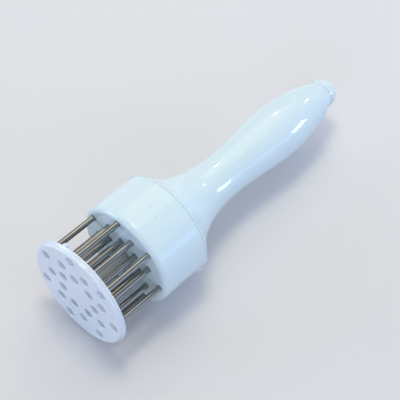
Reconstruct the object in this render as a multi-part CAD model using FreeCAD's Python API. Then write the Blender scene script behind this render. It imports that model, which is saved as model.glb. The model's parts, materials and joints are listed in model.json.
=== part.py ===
import FreeCAD, Part
import math
import os

# Needle meat tenderizer, lying on the rim of its guide plate and the foot of its handle.
# Twenty-one steel needles stand in a cup-shaped head and reach into the holes of a guide
# plate. The plate slides back on its stem against a spring, and the needles come through.
#
# Every piece is drawn about the tool's own axis: X runs from the front of the guide plate
# towards the end of the handle, and a place along it is called a station. The last section
# lays the whole tool down on Z = 0.

# Guide plate, which stands out past the cup and a little more at its rim
plate_thickness = 3.0
plate_overhang = 0.6
plate_edge_rounding = 0.9
rim_lip = 0.7
rim_width = 1.0
rim_rounding = 0.25
needle_hole_gap = 0.95
needle_hole_lip = 0.8
socket_wall = 2.75
socket_height = 3.4
socket_floor = 1.6
peg_radius = 1.6
peg_height = 2.9
peg_rounding = 0.8
peg_inset = 2.5
peg_angle = 65.3

# Needles
needle_radius = 1.5
needle_count_in_ring = 7
inner_ring_from_boss = 3.75
middle_ring_outward = 0.1
outer_ring_inset = 4.25
first_needle_angle = 31.2
needle_point_length = 3.4
needle_point_radius = 0.2
needle_point_depth = 0.9
needle_head_radius = 2.0
needle_head_height = 1.5

# Head cup
open_gap = 27.8
cup_length = 28.0
cup_back_radius = 28.0
cup_draft = 0.3
cup_front_rounding = 2.8
cup_back_rounding = 0.3
cup_wall = 1.8
cup_face_thickness = 5.5
boss_wall = 3.25
boss_length = 12.5

# Retainer disc behind the needle heads
retainer_thickness = 3.0
retainer_screw_count = 3
retainer_screw_radius = 1.25
retainer_screw_reach = 3.6
screw_tip_room = 0.6

# Guide stem, with its stop washer and screw
stem_radius = 4.25
stem_end_chamfer = 0.4
washer_overhang = 0.8
washer_thickness = 1.2
stem_screw_radius = 1.5
stem_screw_reach = 11.0

# Screw heads, sized from the shank
head_to_shank = 2.0
head_height_to_shank = 1.5
chamfer_to_shank = 1 / 3
recess_to_shank = 0.9
recess_depth_share = 0.55
slot_width_share = 0.5

# Return spring
wire_radius = 0.6
spring_radius = 5.6
active_turns = 8
closed_turns_at_each_end = 1
closed_turn_gap = 0.6
pitch_change_turns = 0.5
arcs_in_turn = 4
samples_in_turn = 48

# Spring seat in the neck of the handle
seat_thickness = 2.0
seat_nose_gap = 0.6
seat_nose_rounding = 1.1
seat_front_nose_length = 6.0
seat_back_nose_length = 3.0

# Handle, as stretches from the foot to the end, each with the radius where it ends
foot_lip = 0.2
foot_land = 0.6
foot_rounding = 0.4
flare_run = 8.8
flare_radius = 20.7
waist_run = 14.0
waist_radius = 14.2
neck_run = 16.9
neck_radius = 11.9
palm_run = 21.0
palm_radius = 12.9
belly_run = 23.5
belly_radius = 14.7
taper_run = 17.0
taper_radius = 13.2
shoulder_run = 11.4
shoulder_radius = 10.7
end_run = 7.7
end_radius = 7.8
end_groove = 0.5
end_wall = 1.5
handle_wall = 2.2
spigot_length = 3.5
spigot_wall = 1.8
spigot_land = 1.4
neck_wall = 2.7
neck_step = 1.0
neck_bore_before_seat = 4.0
neck_bore_past_seat = 5.0

# End cap
cap_overhang = 0.1
cap_front_rounding = 0.6
cap_edge_length = 1.5
cap_dome_length = 7.5
cap_dome_fullness = 0.5
plug_length = 7.5
plug_chamfer = 0.5
plug_wall = 1.6
plug_recess_depth = 6.0

# Clearances
running_clearance = 0.08
press_clearance = 0.02
loose_clearance = 0.3
seat_clearance = 0.2

# How far a cutting tool runs out of the piece that it cuts
cut_margin = 1.0

# The drawing axis of the tool
ORIGIN = FreeCAD.Vector(0, 0, 0)
AXIS = FreeCAD.Vector(1, 0, 0)
FULL_TURN = 360.0


# Radii that several pieces share
cup_front_radius = cup_back_radius + cup_draft
cup_inner_radius = cup_back_radius - cup_wall
foot_radius = cup_back_radius + foot_lip
plate_radius = cup_front_radius + plate_overhang
rim_radius = plate_radius + rim_lip
needle_hole_radius = needle_radius + needle_hole_gap
boss_radius = stem_radius + boss_wall
inner_ring_radius = boss_radius + inner_ring_from_boss
outer_ring_radius = cup_front_radius - outer_ring_inset
retainer_screw_ring_radius = (inner_ring_radius + outer_ring_radius) / 2
middle_ring_radius = retainer_screw_ring_radius + middle_ring_outward
neck_bore_radius = neck_radius - neck_wall
neck_step_radius = neck_bore_radius - neck_step
plug_radius = end_radius - end_groove - end_wall
cap_radius = end_radius + cap_overhang

# Stations that several pieces share
plate_back = plate_thickness
cup_face = plate_back + open_gap
cup_floor = cup_face + cup_face_thickness
needle_head_station = cup_floor - needle_head_height
boss_end = cup_floor + boss_length
cup_back = cup_face + cup_length
retainer_back = cup_floor + retainer_thickness
washer_back = boss_end + washer_thickness
neck_station = cup_back + flare_run + waist_run + neck_run
seat_back = neck_station - neck_bore_past_seat / 2
seat_front = seat_back - seat_thickness
handle_end = neck_station + palm_run + belly_run + taper_run + shoulder_run + end_run + end_groove
plug_start = handle_end - plug_length


def at(station, radius):
    """A point of an outline: its station and its distance from the axis."""
    return FreeCAD.Vector(station, 0, radius)


def corner_arc(before, corner, after, rounding):
    """The arc that rounds a corner: its start, middle and end."""
    towards_before = (before - corner).normalize()
    towards_after = (after - corner).normalize()
    half_angle = towards_before.getAngle(towards_after) / 2
    start = corner + towards_before * (rounding / math.tan(half_angle))
    end = corner + towards_after * (rounding / math.tan(half_angle))
    inward = (towards_before + towards_after).normalize()
    middle = corner + inward * (rounding / math.sin(half_angle) - rounding)
    return start, middle, end


def outline(corners):
    """Closed outline through (station, radius, rounding) corners, as a list of edges."""
    points = [at(station, radius) for station, radius, _ in corners]
    edges = []
    ends = []
    for index, (_, _, rounding) in enumerate(corners):
        corner = points[index]
        before = points[index - 1]
        after = points[(index + 1) % len(points)]
        if rounding > 0:
            start, middle, end = corner_arc(before, corner, after, rounding)
            edges.append(Part.Arc(start, middle, end).toShape())
            ends.append((start, end))
        else:
            ends.append((corner, corner))
    for index, (_, leave) in enumerate(ends):
        arrive = ends[(index + 1) % len(ends)][0]
        edges.append(Part.makeLine(leave, arrive))
    return edges


def turned(edges):
    """Solid of revolution about the tool's axis."""
    wire = Part.Wire(Part.__sortEdges__(edges))
    return Part.Face(wire).revolve(ORIGIN, AXIS, FULL_TURN)


def rod(start, end, radius):
    """Plain cylinder along the axis between two stations."""
    return Part.makeCylinder(radius, end - start, at(start, 0), AXIS)


def placed_on_ring(shape, ring_radius, angle):
    """Copy of a shape, moved out from the axis and turned to an angle about it."""
    copy = shape.copy()
    copy.translate(FreeCAD.Vector(0, ring_radius, 0))
    copy.rotate(ORIGIN, AXIS, angle)
    return copy


def needle_places():
    """Name, ring radius and angle of every needle, ring by ring."""
    pitch = FULL_TURN / needle_count_in_ring
    rings = (
        ("inner", inner_ring_radius, 0.0),
        ("middle", middle_ring_radius, pitch / 2),
        ("outer", outer_ring_radius, 0.0),
    )
    places = []
    for name, ring_radius, offset in rings:
        for index in range(needle_count_in_ring):
            angle = first_needle_angle + offset + index * pitch
            places.append((f"needle_{name}_{index + 1}", ring_radius, angle))
    return places


def at_needles(tool):
    """One copy of a cutting tool at every needle."""
    copies = [placed_on_ring(tool, ring_radius, angle) for _, ring_radius, angle in needle_places()]
    return Part.makeCompound(copies)


def retainer_screw_spots():
    """Angles of the free places between an inner and an outer needle that take a screw."""
    pitch = FULL_TURN / needle_count_in_ring
    step = needle_count_in_ring / retainer_screw_count
    return [first_needle_angle + round(index * step) * pitch for index in range(retainer_screw_count)]


def at_retainer_screws(shape):
    """One copy of a shape at every retainer screw."""
    ring_radius = retainer_screw_ring_radius
    return Part.makeCompound([placed_on_ring(shape, ring_radius, angle) for angle in retainer_screw_spots()])


def cross_head_screw(seat, reach, shank_radius):
    """Screw that points to the plate, with its head behind the seat station."""
    head_radius = shank_radius * head_to_shank
    head_height = shank_radius * head_height_to_shank
    chamfer = shank_radius * chamfer_to_shank
    body = turned(outline([
        (seat - reach, 0, 0),
        (seat - reach, shank_radius - chamfer, 0),
        (seat - reach + chamfer, shank_radius, 0),
        (seat, shank_radius, 0),
        (seat, head_radius, 0),
        (seat + head_height - chamfer, head_radius, 0),
        (seat + head_height, head_radius - chamfer, 0),
        (seat + head_height, 0, 0),
    ]))
    recess_radius = shank_radius * recess_to_shank
    recess_depth = head_height * recess_depth_share
    slot_width = recess_radius * slot_width_share
    slot = Part.makeBox(
        recess_depth,
        recess_radius * 2,
        slot_width,
        FreeCAD.Vector(seat + head_height - recess_depth, -recess_radius, -slot_width / 2),
    )
    crossed_slot = slot.copy()
    crossed_slot.rotate(ORIGIN, AXIS, FULL_TURN / 4)
    return body.cut([slot, crossed_slot])


# Guide plate, stepped at its rim, with a socket for the stem and a peg on its back
def make_guide_plate():
    rim_start = plate_back - rim_width
    socket_radius = stem_radius + socket_wall
    disc = turned(outline([
        (0, 0, 0),
        (0, plate_radius, plate_edge_rounding),
        (rim_start - rim_lip / 2, plate_radius, 0),
        (rim_start, rim_radius, 0),
        (plate_back, rim_radius, rim_rounding),
        (plate_back, socket_radius, 0),
        (plate_back + socket_height, socket_radius, rim_rounding),
        (plate_back + socket_height, stem_radius + press_clearance, 0),
        (socket_floor, stem_radius + press_clearance, 0),
        (socket_floor, 0, 0),
    ]))
    lip_radius = needle_hole_radius + needle_hole_lip
    hole = turned(outline([
        (-cut_margin, 0, 0),
        (-cut_margin, lip_radius + cut_margin, 0),
        (0, lip_radius, 0),
        (needle_hole_lip, needle_hole_radius, 0),
        (plate_back + cut_margin, needle_hole_radius, 0),
        (plate_back + cut_margin, 0, 0),
    ]))
    peg = turned(outline([
        (rim_start, 0, 0),
        (rim_start, peg_radius, 0),
        (plate_back + peg_height, peg_radius, peg_rounding),
        (plate_back + peg_height, 0, 0),
    ]))
    peg = placed_on_ring(peg, plate_radius - peg_inset, peg_angle)
    return disc.fuse(peg).cut(at_needles(hole)).removeSplitter()


# Stem that carries the plate and slides in the boss of the cup
def make_guide_stem():
    stem = turned(outline([
        (socket_floor, 0, 0),
        (socket_floor, stem_radius - stem_end_chamfer, 0),
        (socket_floor + stem_end_chamfer, stem_radius, 0),
        (boss_end, stem_radius, 0),
        (boss_end, 0, 0),
    ]))
    pilot_start = washer_back - stem_screw_reach - screw_tip_room
    return stem.cut(rod(pilot_start, boss_end, stem_screw_radius + press_clearance))


# Stop washer: it holds the stem in the boss, and the spring pushes on it
def make_stop_washer():
    washer_radius = spring_radius + wire_radius + washer_overhang
    bore = rod(boss_end, washer_back, stem_screw_radius + seat_clearance)
    return rod(boss_end, washer_back, washer_radius).cut(bore)


def make_stem_screw():
    return cross_head_screw(washer_back, stem_screw_reach, stem_screw_radius)


# One needle: a point, a plain shank and an upset head
def make_needle():
    tip = needle_point_depth
    return turned(outline([
        (tip, 0, 0),
        (tip, needle_point_radius, 0),
        (tip + needle_point_length, needle_radius, 0),
        (needle_head_station, needle_radius, 0),
        (needle_head_station, needle_head_radius, 0),
        (cup_floor, needle_head_radius, 0),
        (cup_floor, 0, 0),
    ]))


# Head cup: a thick face for the needles, a side wall and a boss that guides the stem
def make_head_cup():
    bore_radius = stem_radius + running_clearance
    cup = turned(outline([
        (cup_face, bore_radius, 0),
        (cup_face, cup_front_radius, cup_front_rounding),
        (cup_back, cup_back_radius, cup_back_rounding),
        (cup_back, cup_inner_radius, 0),
        (cup_floor, cup_inner_radius, 0),
        (cup_floor, boss_radius, 0),
        (boss_end, boss_radius, 0),
        (boss_end, bore_radius, 0),
    ]))
    needle_bore = turned(outline([
        (cup_face - cut_margin, 0, 0),
        (cup_face - cut_margin, needle_radius + press_clearance, 0),
        (needle_head_station, needle_radius + press_clearance, 0),
        (needle_head_station, needle_head_radius + press_clearance, 0),
        (cup_floor + cut_margin, needle_head_radius + press_clearance, 0),
        (cup_floor + cut_margin, 0, 0),
    ]))
    pilot_depth = retainer_screw_reach + screw_tip_room
    pilot = rod(cup_floor - pilot_depth, cup_floor, retainer_screw_radius + press_clearance)
    return cup.cut([at_needles(needle_bore), at_retainer_screws(pilot)])


# Disc that presses the needle heads into the face of the cup
def make_needle_retainer():
    disc = rod(cup_floor, retainer_back, cup_inner_radius - loose_clearance)
    centre = rod(cup_floor, retainer_back, boss_radius + loose_clearance)
    screw_hole = rod(cup_floor, retainer_back, retainer_screw_radius + seat_clearance)
    return disc.cut([centre, at_retainer_screws(screw_hole)])


def make_retainer_screws():
    reach = retainer_thickness + retainer_screw_reach
    return at_retainer_screws(cross_head_screw(retainer_back, reach, retainer_screw_radius))


def spring_path_point(turns, total_turns, start, closed_rise, active_rise):
    """Point and direction of the wire's centre after a number of turns."""
    blend = pitch_change_turns
    steeper = active_rise - closed_rise
    knees = ((closed_turns_at_each_end, steeper), (total_turns - closed_turns_at_each_end, -steeper))
    rise = 0.0
    slope = closed_rise
    for knee, change in knees:
        past = min(max((turns - knee + blend / 2) / blend, 0.0), 1.0)
        beyond = max(turns - knee - blend / 2, 0.0)
        rise += change * (blend * past * past / 2 + beyond)
        slope += change * past
    angle = 2 * math.pi * turns
    point = FreeCAD.Vector(
        start + closed_rise * turns + rise,
        spring_radius * math.cos(angle),
        spring_radius * math.sin(angle),
    )
    tangent = FreeCAD.Vector(
        slope,
        -2 * math.pi * spring_radius * math.sin(angle),
        2 * math.pi * spring_radius * math.cos(angle),
    ).normalize()
    return point, tangent


def leaving_arc(start, control, end):
    """Arc from start to end whose end tangents meet at the control point."""
    middle_of_chord = (start + end) / 2
    half_chord = (end - start).Length / 2
    outward = control - middle_of_chord
    leg = math.hypot(half_chord, outward.Length)
    sagitta = half_chord * (leg - half_chord) / outward.Length
    return Part.Arc(start, middle_of_chord + outward / outward.Length * sagitta, end).toShape()


def biarc(start, start_direction, end, end_direction):
    """Two arcs that join smoothly and meet both directions."""
    span = end - start
    both = start_direction + end_direction
    a = 2 * (start_direction.dot(end_direction) - 1)
    b = span.dot(both)
    c = span.dot(span)
    leg = (b - math.sqrt(b * b - a * c)) / a
    first_control = start + start_direction * leg
    second_control = end - end_direction * leg
    joint = (first_control + second_control) / 2
    return [leaving_arc(start, first_control, joint), leaving_arc(joint, second_control, end)]


# Return spring: one wire, closed at both ends and ground flat on the washer and on the seat
def make_return_spring():
    total_turns = active_turns + 2 * closed_turns_at_each_end
    closed_rise = 2 * wire_radius + closed_turn_gap
    start = washer_back
    length = seat_front - washer_back
    active_rise = (length - 2 * closed_turns_at_each_end * closed_rise) / active_turns
    knots = []
    for step in range(total_turns * arcs_in_turn + 1):
        turns = step / arcs_in_turn
        knots.append(spring_path_point(turns, total_turns, start, closed_rise, active_rise))
    edges = []
    for (point, direction), (next_point, next_direction) in zip(knots, knots[1:]):
        edges += biarc(point, direction, next_point, next_direction)
    path = Part.Wire(edges)
    first_point, first_direction = knots[0]
    section = Part.Wire(Part.makeCircle(wire_radius, first_point, first_direction))
    tube = path.makePipeShell([section], True, False)
    ground = rod(washer_back, seat_front, spring_radius + 2 * wire_radius)
    spring = tube.common(ground)
    samples = path.discretize(Number=total_turns * samples_in_turn)
    print("spring turns", total_turns, "least gap", round(least_gap(samples), 3))
    return spring


def least_gap(samples):
    """Smallest clear distance between turns of the wire, from points on its centre line."""
    half_turn = samples_in_turn // 2
    two_turns = samples_in_turn * 2
    nearest = min(
        (first - second).Length
        for index, first in enumerate(samples)
        for second in samples[index + half_turn:index + two_turns]
    )
    return nearest - 2 * wire_radius


# Seat that the spring pushes on, held by the step in the neck of the handle
def make_spring_seat():
    front_nose_radius = spring_radius - wire_radius - seat_nose_gap
    back_nose_radius = neck_step_radius - seat_clearance
    seat_radius = neck_bore_radius - seat_clearance
    return turned(outline([
        (seat_front - seat_front_nose_length, 0, 0),
        (seat_front - seat_front_nose_length, front_nose_radius, seat_nose_rounding),
        (seat_front, front_nose_radius, 0),
        (seat_front, seat_radius, 0),
        (seat_back, seat_radius, 0),
        (seat_back, back_nose_radius, 0),
        (seat_back + seat_back_nose_length, back_nose_radius, 0),
        (seat_back + seat_back_nose_length, 0, 0),
    ]))


def handle_curve():
    """Outside curve of the handle from its foot to its end."""
    runs = (
        (flare_run, flare_radius),
        (waist_run, waist_radius),
        (neck_run, neck_radius),
        (palm_run, palm_radius),
        (belly_run, belly_radius),
        (taper_run, taper_radius),
        (shoulder_run, shoulder_radius),
        (end_run, end_radius),
    )
    station = cup_back
    points = [at(station + foot_land, foot_radius)]
    for run, radius in runs:
        station += run
        points.append(at(station, radius))
    curve = Part.BSplineCurve()
    curve.interpolate(points)
    return curve, points


def inside(curve, point):
    """Point of the cavity that lies one wall in from a point of the outside curve."""
    tangent = curve.tangent(curve.parameter(point))[0]
    inward = FreeCAD.Vector(tangent.z, 0, -tangent.x)
    return point + inward * handle_wall


# Handle: a hollow shell with a spigot for the cup, a stepped neck bore and an open end
def make_handle_shell():
    curve, points = handle_curve()
    flare, waist, _, palm, belly, taper, shoulder, curve_end = points[1:]
    spigot_radius = cup_inner_radius - seat_clearance
    spigot_inner = spigot_radius - spigot_wall
    spigot_start = cup_back - spigot_length
    bore_start = at(seat_front - neck_bore_before_seat, neck_bore_radius)
    bore_end = at(seat_back + neck_bore_past_seat, neck_step_radius)
    plug_bore = plug_radius + press_clearance
    funnel_start = at(cup_back + spigot_land, spigot_inner)
    funnel = Part.BSplineCurve()
    funnel.interpolate([funnel_start, inside(curve, flare), inside(curve, waist), bore_start])
    grip_cavity = Part.BSplineCurve()
    grip_cavity.interpolate([bore_end] + [inside(curve, point) for point in (palm, belly, taper, shoulder)])
    cavity_end = grip_cavity.EndPoint
    foot_corner = at(cup_back, foot_radius)
    foot_arc = corner_arc(at(cup_back, 0), foot_corner, at(handle_end, foot_radius), foot_rounding)
    corners = [
        at(spigot_start, spigot_inner),
        at(spigot_start, spigot_radius),
        at(cup_back, spigot_radius),
        foot_arc[0],
    ]
    edges = [Part.makeLine(first, second) for first, second in zip(corners, corners[1:])]
    edges += [
        Part.Arc(*foot_arc).toShape(),
        Part.makeLine(foot_arc[2], points[0]),
        curve.toShape(),
        Part.makeLine(curve_end, at(handle_end, end_radius - end_groove)),
        Part.makeLine(at(handle_end, end_radius - end_groove), at(handle_end, plug_bore)),
        Part.makeLine(at(handle_end, plug_bore), at(plug_start, plug_bore)),
        Part.makeLine(at(plug_start, plug_bore), cavity_end),
        grip_cavity.toShape(),
        Part.makeLine(bore_end, at(seat_back, neck_step_radius)),
        Part.makeLine(at(seat_back, neck_step_radius), at(seat_back, neck_bore_radius)),
        Part.makeLine(at(seat_back, neck_bore_radius), bore_start),
        funnel.toShape(),
        Part.makeLine(funnel_start, corners[0]),
    ]
    return turned(edges)


# End cap: a hollow plug that closes the handle, and a domed knob behind a fine groove
def make_end_cap():
    recess_end = plug_start + plug_recess_depth
    recess_radius = plug_radius - plug_wall
    dome_start = handle_end + cap_edge_length
    dome_end = dome_start + cap_dome_length
    front_corner = at(handle_end, cap_radius)
    front_arc = corner_arc(at(handle_end, 0), front_corner, at(dome_start, cap_radius), cap_front_rounding)
    corners = [
        at(dome_end, 0),
        at(recess_end, 0),
        at(recess_end, recess_radius),
        at(plug_start, recess_radius),
        at(plug_start, plug_radius - plug_chamfer),
        at(plug_start + plug_chamfer, plug_radius),
        at(handle_end, plug_radius),
        front_arc[0],
    ]
    edges = [Part.makeLine(first, second) for first, second in zip(corners, corners[1:])]
    dome = Part.BezierCurve()
    dome.setPoles([
        at(dome_start, cap_radius),
        at(dome_start + cap_dome_length * cap_dome_fullness, cap_radius),
        at(dome_end, cap_radius * cap_dome_fullness),
        at(dome_end, 0),
    ])
    edges += [
        Part.Arc(*front_arc).toShape(),
        Part.makeLine(front_arc[2], at(dome_start, cap_radius)),
        dome.toShape(),
    ]
    return turned(edges)


def lying_tilt():
    """Angle, in degrees, between the axis and the table when the rim and the foot both touch it."""
    run = cup_back + foot_rounding - (plate_back - rim_rounding)
    drop = (rim_radius - rim_rounding) - (foot_radius - foot_rounding)
    rounding_drop = rim_rounding - foot_rounding
    return math.degrees(math.asin(rounding_drop / math.hypot(run, drop)) + math.atan2(drop, run))


# All pieces, each under its own name
pieces = {
    "guide_plate": make_guide_plate(),
    "guide_stem": make_guide_stem(),
    "stop_washer": make_stop_washer(),
    "stem_screw": make_stem_screw(),
    "return_spring": make_return_spring(),
    "spring_seat": make_spring_seat(),
    "head_cup": make_head_cup(),
    "needle_retainer": make_needle_retainer(),
    "retainer_screws": make_retainer_screws(),
    "handle_shell": make_handle_shell(),
    "end_cap": make_end_cap(),
}
needle = make_needle()
for needle_name, needle_ring, needle_angle in needle_places():
    pieces[needle_name] = placed_on_ring(needle, needle_ring, needle_angle)

# The tool laid down: tilted until the rim and the foot rest on Z = 0, centred over the origin
tilt = lying_tilt()
for piece in pieces.values():
    piece.rotate(ORIGIN, FreeCAD.Vector(0, 1, 0), tilt)
box = Part.makeCompound(list(pieces.values())).optimalBoundingBox(False, False)
to_origin = FreeCAD.Vector(-box.Center.x, 0, -box.ZMin)

os.makedirs("parts", exist_ok=True)
for name, piece in pieces.items():
    piece.translate(to_origin)
    piece.exportStep(f"parts/{name}.step")
axis_start = to_origin
axis_direction = FreeCAD.Rotation(FreeCAD.Vector(0, 1, 0), tilt).multVec(AXIS)
print("pieces", len(pieces))
print("overall size", round(box.XLength, 2), round(box.YLength, 2), round(box.ZLength, 2))
print("axis through", tuple(round(value, 4) for value in axis_start))
print("axis direction", tuple(round(value, 6) for value in axis_direction))
print("guide travel room", round(open_gap - max(peg_height, socket_height), 2))
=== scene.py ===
"""Needle meat tenderizer: the pieces that show, their finishes, the light and the camera.

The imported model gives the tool's axis, and every piece is shaped about that axis in
millimetres. A place along the axis is a station, counted from the front of the guide plate,
and an angle is counted from the row's +Y towards the top. The workshop then moves each
finished shape to where the tool lies, in metres.
"""

from __future__ import annotations

import json
import logging
import math
from dataclasses import dataclass, field
from enum import Enum
from typing import Iterator, Sequence

import bmesh
import bpy
import numpy as np
from mathutils import Euler, Matrix, Vector, geometry

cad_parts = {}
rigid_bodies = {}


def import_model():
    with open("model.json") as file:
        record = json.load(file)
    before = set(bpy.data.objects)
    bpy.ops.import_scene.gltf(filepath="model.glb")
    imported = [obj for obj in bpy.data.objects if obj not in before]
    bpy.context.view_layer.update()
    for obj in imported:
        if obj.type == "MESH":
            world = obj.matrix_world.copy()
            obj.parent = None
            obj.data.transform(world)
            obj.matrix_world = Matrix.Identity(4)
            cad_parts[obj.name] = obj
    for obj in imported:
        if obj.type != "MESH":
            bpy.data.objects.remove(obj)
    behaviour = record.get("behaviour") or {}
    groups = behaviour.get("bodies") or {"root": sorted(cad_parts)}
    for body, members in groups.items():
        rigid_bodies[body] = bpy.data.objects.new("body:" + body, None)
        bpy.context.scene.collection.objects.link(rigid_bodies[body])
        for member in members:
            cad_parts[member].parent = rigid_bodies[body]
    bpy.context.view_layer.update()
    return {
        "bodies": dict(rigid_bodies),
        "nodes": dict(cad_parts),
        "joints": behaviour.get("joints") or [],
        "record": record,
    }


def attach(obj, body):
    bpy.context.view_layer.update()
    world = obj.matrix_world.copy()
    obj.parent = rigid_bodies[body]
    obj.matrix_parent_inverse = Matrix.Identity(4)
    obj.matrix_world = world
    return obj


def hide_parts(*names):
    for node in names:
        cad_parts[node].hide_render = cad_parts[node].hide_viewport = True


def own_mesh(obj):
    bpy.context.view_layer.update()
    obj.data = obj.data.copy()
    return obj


LOG = logging.getLogger("needle_tenderizer")
MILLIMETRE = 0.001
FULL_TURN = 2 * math.pi
AXIS = Vector((1.0, 0.0, 0.0))
ORIGIN = Vector((0.0, 0.0, 0.0))
SAME_PLACE = 1e-4
CREASE_ANGLE = math.radians(32)

Colour = tuple[float, float, float, float]


class Body(Enum):
    """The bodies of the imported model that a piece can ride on."""

    HANDLE = "handle"
    GUIDE = "guide"


class Slot(Enum):
    """The record's material slots."""

    HANDLE = "handle_plastic"
    CUP = "cup_plastic"
    PLATE = "plate_plastic"
    STEM = "stem_plastic"
    INNER = "inner_plastic"
    NEEDLE = "needle_steel"
    SPRING = "spring_steel"
    FASTENER = "fastener_steel"


@dataclass(frozen=True)
class Corner:
    """A corner of a turned outline: its station, its radius and how much it is rounded."""

    station: float
    radius: float
    rounding: float = 0.0

    def place(self) -> Vector:
        """The corner as a point above the axis."""
        return Vector((self.station, 0.0, self.radius))


@dataclass(frozen=True)
class ToolAxis:
    """The tool's own axis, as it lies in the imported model."""

    front: Vector
    along: Vector

    @classmethod
    def from_frame(cls, frame: dict) -> ToolAxis:
        """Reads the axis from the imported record.


        Returns:
            The axis, from the middle of the pressing face along the plate's slide.
        """
        record = frame["record"]
        press_face = record["mounts"][0]
        slide = record["behaviour"]["joints"][0]
        return cls(Vector(press_face["pos_m"]), Vector(slide["axis"]).normalized())

    def up(self) -> Vector:
        """The direction across the axis that points away from the table."""
        return self.along.cross(Vector((0.0, 1.0, 0.0)))

    def to_row(self) -> Matrix:
        """Matrix from millimetres about the axis to metres in the row's frame."""
        turn = Matrix((self.along, Vector((0.0, 1.0, 0.0)), self.up())).transposed()
        return Matrix.Translation(self.front) @ turn.to_4x4() @ Matrix.Scale(MILLIMETRE, 4)

    def point(self, station: float) -> Vector:
        """The point of the axis at a station, in the row's frame."""
        return self.front + self.along * station * MILLIMETRE

    def tilt(self) -> float:
        """How far the axis leans below the horizontal, in radians."""
        return math.atan2(-self.along.z, self.along.x)


def on_ring(radius: float, degrees: float) -> Matrix:
    """Matrix that moves a shape out from the axis and turns it to an angle about it."""
    return Matrix.Rotation(math.radians(degrees), 4, "X") @ Matrix.Translation((0.0, radius, 0.0))


def arc_reach(before: Vector, corner: Vector, after: Vector, rounding: float) -> float:
    """Distance from a corner to where its rounding starts.

    Args:
        before: The outline's point before the corner.
        corner: The corner itself.
        after: The outline's point after the corner.
        rounding: Radius of the rounding.

    Returns:
        The length that the rounding takes off each side.
    """
    return rounding / math.tan((before - corner).angle(after - corner) / 2)


def draw_outline(
    shape: bmesh.types.BMesh, corners: Sequence[Corner], closed: bool, arc_steps: int
) -> None:
    """Draws an outline above the axis and rounds its corners.

    Args:
        shape: Mesh that takes the outline's vertices and edges.
        corners: The outline's corners in order.
        closed: Whether the last corner joins the first.
        arc_steps: Segments of each rounding.
    """
    places = [corner.place() for corner in corners]
    vertices = [shape.verts.new(place) for place in places]
    for pair in zip(vertices, vertices[1:]):
        shape.edges.new(pair)
    if closed:
        shape.edges.new((vertices[-1], vertices[0]))
    for index, corner in enumerate(corners):
        if corner.rounding > 0:
            after = places[(index + 1) % len(places)]
            reach = arc_reach(places[index - 1], places[index], after, corner.rounding)
            bmesh.ops.bevel(
                shape,
                geom=[vertices[index]],
                offset=reach,
                offset_type="OFFSET",
                segments=arc_steps,
                profile=0.5,
                affect="VERTICES",
                material=-1,
            )


def turned(
    corners: Sequence[Corner],
    steps: int,
    closed: bool = False,
    arc_steps: int = 8,
    start_degrees: float = 0.0,
) -> bmesh.types.BMesh:
    """Turns an outline about the axis, as on a lathe.

    Args:
        corners: The outline's corners in order.
        steps: Steps of the full turn.
        closed: Whether the last corner joins the first.
        arc_steps: Segments of each rounding.
        start_degrees: Angle of the first row of vertices, from +Y.

    Returns:
        The turned shape. Its ends stay open unless they lie on the axis.
    """
    shape = bmesh.new()
    draw_outline(shape, corners, closed, arc_steps)
    to_start = Matrix.Rotation(math.radians(start_degrees - 90.0), 4, "X")
    bmesh.ops.transform(shape, matrix=to_start, verts=shape.verts[:])
    bmesh.ops.spin(
        shape,
        geom=shape.verts[:] + shape.edges[:],
        cent=ORIGIN,
        axis=AXIS,
        dvec=ORIGIN,
        angle=FULL_TURN,
        steps=steps,
        use_merge=True,
        use_normal_flip=False,
        use_duplicate=False,
    )
    tidy(shape)
    return shape


def tidy(shape: bmesh.types.BMesh) -> None:
    """Merges doubled vertices and turns every face outwards."""
    bmesh.ops.remove_doubles(shape, verts=shape.verts[:], dist=SAME_PLACE)
    bmesh.ops.recalc_face_normals(shape, faces=shape.faces[:])


def absorb(
    target: bmesh.types.BMesh, part: bmesh.types.BMesh, place: Matrix = Matrix.Identity(4)
) -> None:
    """Moves a part into place, adds it to a target and frees it.

    Args:
        target: Shape that takes the part.
        part: Shape that is added.
        place: Where the part goes.
    """
    bmesh.ops.transform(part, matrix=place, verts=part.verts[:])
    carrier = bpy.data.meshes.new("carrier")
    part.to_mesh(carrier)
    target.from_mesh(carrier)
    bpy.data.meshes.remove(carrier)
    part.free()


def fill_flat(shape: bmesh.types.BMesh, station: float) -> None:
    """Fills the flat face between all the open rims that lie at one station.

    Args:
        shape: Shape that takes the face.
        station: Where the rims lie.
    """
    rims = [
        edge
        for edge in shape.edges
        if edge.is_boundary and all(abs(vertex.co.x - station) < SAME_PLACE for vertex in edge.verts)
    ]
    bmesh.ops.triangle_fill(shape, use_beauty=True, use_dissolve=False, edges=rims)


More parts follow.
